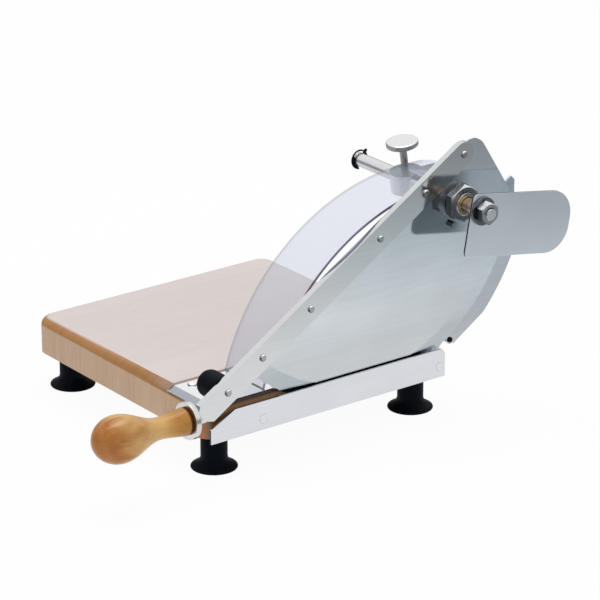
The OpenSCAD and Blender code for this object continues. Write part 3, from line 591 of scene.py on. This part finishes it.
def grip_place():
    """Matrix at the grip's root whose Z axis points along the grip."""
    tilt = math.radians(GRIP_TILT)
    along = Vector((0.0, -math.cos(tilt), math.sin(tilt)))
    root = Vector([(p - o) * MM for p, o in zip(GRIP_AT, ORIGIN)])
    return Matrix.Translation(root) @ along.to_track_quat("Z", "Y").to_matrix().to_4x4()


def middle(name):
    """Middle and lowest corner of a CAD node's box."""
    low, high = (Vector(v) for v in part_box(name))
    return (low + high) / 2, low


def ease(a, b, t):
    return a + (b - a) * (1 - math.cos(math.pi * t)) / 2


def grip_rows(length, root, neck, neck_at, bulb, bulb_at, n=20):
    rows = [(0.0, 0.0), (root - 0.6, 0.0), (root - 0.1, 0.4)]
    rows += [(ease(root, neck, i / n), neck_at * i / n) for i in range(1, n)]
    rows += [(ease(neck, bulb, i / n), neck_at + (bulb_at - neck_at) * i / n) for i in range(n)]
    for i in range(n + 1):
        a = i * math.pi / 2 / n
        rows.append((bulb * math.cos(a), bulb_at + (length - bulb_at) * math.sin(a)))
    return rows


def foot_rows(rim, neck, height):
    sole = [(0.0, 4.0), (rim - 3.0, 0.0), (rim - 0.8, 0.0)]
    cup = [(rim - 0.2, 0.2), (rim, 0.7), (rim - 0.3, 1.4), (rim - 2.4, 2.6), (rim - 4.6, 3.9),
           (rim - 6.6, 5.5), (rim - 7.9, 7.4), (neck, 9.8)]
    top = [(neck, height - 0.6), (neck - 0.5, height), (0.0, height)]
    return sole + cup + top


def nut_rows(flats, thick, bore):
    """Hexagon nut with chamfered corners on both faces."""
    inner = flats / 2 - 0.4

    def hexagon(a):
        return flats / 2 / math.cos((a + math.pi / 6) % (math.pi / 3) - math.pi / 6)

    def drop(a):
        return 0.2 + (hexagon(a) - inner) * math.tan(math.radians(NUT_CHAMFER))

    return [(bore + 0.5, 0.0), (inner, 0.0), (hexagon, drop), (hexagon, lambda a: thick - drop(a)),
            (inner, thick), (bore + 0.7, thick), (bore, thick - 0.7), (bore, 0.5)]


add_camera()
add_studio()

# Sheets
arm_steel = steel("arm_steel", (0.62, 0.63, 0.635), (0.69, 0.70, 0.705), 0.06, 0.05, (500, 14, 500))
plate_steel = steel("plate_steel", (0.79, 0.795, 0.80), (0.86, 0.865, 0.87), 0.05, 0.05, (500, 14, 500))
rail_steel = steel("rail_steel", (0.65, 0.665, 0.70), (0.71, 0.725, 0.76), 0.06, 0.05, (500, 10, 500))
# Bevel, blade and shield get painted light higher up and painted shade lower down through fade
bevel_steel = steel("bevel_steel", (0.38, 0.415, 0.44), (0.44, 0.475, 0.50), 0.08, 0.05, (300, 18, 300),
                    fade=(0.074, 0.115, 1.12, 1.5))
blade_steel = steel("blade_steel", (0.585, 0.612, 0.635), (0.645, 0.677, 0.70), 0.06, 0.05, (300, 18, 300),
                    fade=(0.08, 0.115, 0.92, 1.14))
shield_steel = steel("shield_steel", (0.45, 0.475, 0.505), (0.51, 0.535, 0.56), 0.1, 0.05, (300, 18, 300),
                     fade=(0.075, 0.14, 0.98, 1.22))
satin = steel("satin_steel", (0.76, 0.795, 0.82), (0.84, 0.875, 0.90), 0.28, 0.08, (30, 700, 700))
satin_back = plate_back()
# Thin sheet edges painted near black: painted shade and dark reflection
edge_shade = steel("edge_shade", (0.03, 0.032, 0.036), (0.07, 0.072, 0.078), 0.4, 0.1, (300, 300, 300))
# The base plate's front lip: the plate's steel painted darker as shade, for facing forward and down
lip_shade_steel = steel("lip_shade_steel", (0.36, 0.385, 0.43), (0.42, 0.445, 0.49), 0.16, 0.06, (300, 300, 300))

# Hardware
turned = steel("turned_steel", (0.62, 0.62, 0.63), (0.74, 0.74, 0.75), 0.14, 0.08, (900, 60, 60))
# Washers and the bush ring are painted dark with the shade and reflection of the nuts
ring_shade_steel = steel("ring_shade_steel", (0.11, 0.12, 0.13), (0.18, 0.195, 0.21), 0.24, 0.08, (60, 300, 300))
# The boss's side is lit; its top is painted dark as the knob's shadow and reflection
boss_side = steel("boss_side", (0.74, 0.76, 0.81), (0.82, 0.84, 0.89), 0.32, 0.08, (60, 60, 600))
boss_top_shade = steel("boss_top_shade", (0.15, 0.19, 0.21), (0.20, 0.245, 0.265), 0.3, 0.08, (300, 300, 300))
dark_steel = steel("dark_steel", (0.05, 0.05, 0.055), (0.09, 0.09, 0.095), 0.28, 0.1, (300, 300, 300))
brass = steel("brass", (0.42, 0.33, 0.19), (0.58, 0.47, 0.30), 0.18, 0.1, (900, 60, 60))
# Nuts, knob and screws: painted light and shade by facing
nut_steel = facing_lit_steel("nut_steel", (0.075, 0.082, 0.09), (0.80, 0.82, 0.84), 0.24)
knob_steel = facing_lit_steel("knob_steel", (0.36, 0.36, 0.36), (0.80, 0.80, 0.81), 0.2, 0.1)
screw_steel = facing_lit_steel("screw_steel", (0.09, 0.088, 0.085), (0.95, 0.95, 0.95), 0.2, 0.25)

# Wood, rubber and the clear guard
wood = board_wood()
grip = grip_wood()
rubber = black_rubber("black_rubber", (0.0010, 0.0016, 0.0032), 0.5)
gloss_black = black_rubber("black_plastic", (0.008, 0.008, 0.009), 0.25)
clear = clear_plastic("clear_plastic", (0.91, 0.905, 0.96), (0.78, 0.86, 0.84))
far_rim = clear_plastic("far_rim", (0.80, 0.80, 0.81), (0.40, 0.41, 0.43))
guard_rim = steel("guard_rim", (0.20, 0.20, 0.29), (0.29, 0.29, 0.39), 0.2, 0.1, (60, 60, 60))

# Material and eased edge of each node in one material
LOOKS = {
    "board": (wood, 0.0), "rear_post": (shield_steel, 0.2), "arm_bar": (arm_steel, 0.5),
    "arm_screws": (screw_steel, 0.9), "base_plate_screws": (screw_steel, 0.4), "guard_screws": (turned, 0.25),
    "rail_spacers": (turned, 0.2), "rail_screws": (rail_steel, 0.0), "post_screws": (turned, 0.0),
    "pivot_axle": (turned, 0.3), "bush_ring": (ring_shade_steel, 0.3),
    "pivot_washer": (ring_shade_steel, 0.3), "stop_washer": (ring_shade_steel, 0.3),
    "handle_tang": (turned, 0.4), "handle_flange": (turned, 0.5), "handle_stud": (turned, 0.0),
    "stop_rod": (rod_steel(), 0.4),
    "thumb_screw_stem": (knob_steel, 0.0), "thumb_screw_knob": (knob_steel, 0.4),
    "foot_studs": (turned, 0.0), "guide_sleeve": (brass, 0.25), "pivot_bush": (brass, 0.2),
    "post_tip_plug": (rubber, 0.2), "rod_end_clip": (gloss_black, 0.3),
}
for name, (mat, edge) in LOOKS.items():
    dressed(name, mat, edge)
dressed("base_plate", plate_steel, 0.12, [(edge_shade, lambda n: n.x > 0.9), (lip_shade_steel, lambda n: n.y < -0.3)])
dressed("rail_plate", rail_steel, 0.2, [(edge_shade, lambda n: n.y < -0.9)])
dressed("blade", blade_steel, 0.0, [(bevel_steel, lambda n: 0.95 < n.x < 0.999)])
dressed("stop_plate", satin, 0.2, [(edge_shade, lambda n: abs(n.x) < 0.3), (satin_back, lambda n: n.x < -0.9)])
dressed("guard", clear, 0.15, [(guard_rim, lambda n: n.x > 0.9), (far_rim, lambda n: n.x < -0.9)])
dressed("clamp_boss", boss_side, 0.6, [(boss_top_shade, lambda n: n.z > 0.7)])
dressed("stop_pin", dark_steel, 0.3, [(turned, lambda n: n.x > 0.9)])

lathed("handle_grip", grip, grip_rows(**GRIP), grip_place(), steps=72, sharp=60.0)
for name in ("foot_front_right", "foot_front_left", "foot_rear_right", "foot_rear_left"):
    mid, low = middle(name)
    lathed(name, rubber, foot_rows(**FOOT), Matrix.Translation((mid.x, mid.y, low.z)), steps=64, sharp=50.0)
# The bumper and the nuts lie along X
lying = Matrix.Rotation(math.pi / 2, 4, "Y")
mid, low = middle("bumper")
at = Matrix.Translation((low.x, mid.y, mid.z)) @ lying
lathed("bumper", rubber, BUMPER_ROWS, at, steps=48, sharp=60.0)
corner_up = Matrix.Rotation(math.pi / 6, 4, "Z")
for name, sizes in NUTS.items():
    mid, low = middle(name)
    at = Matrix.Translation((low.x, mid.y, mid.z)) @ lying @ corner_up
    lathed(name, nut_steel, nut_rows(**sizes), at, steps=72, sharp=25.0)

low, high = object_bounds()
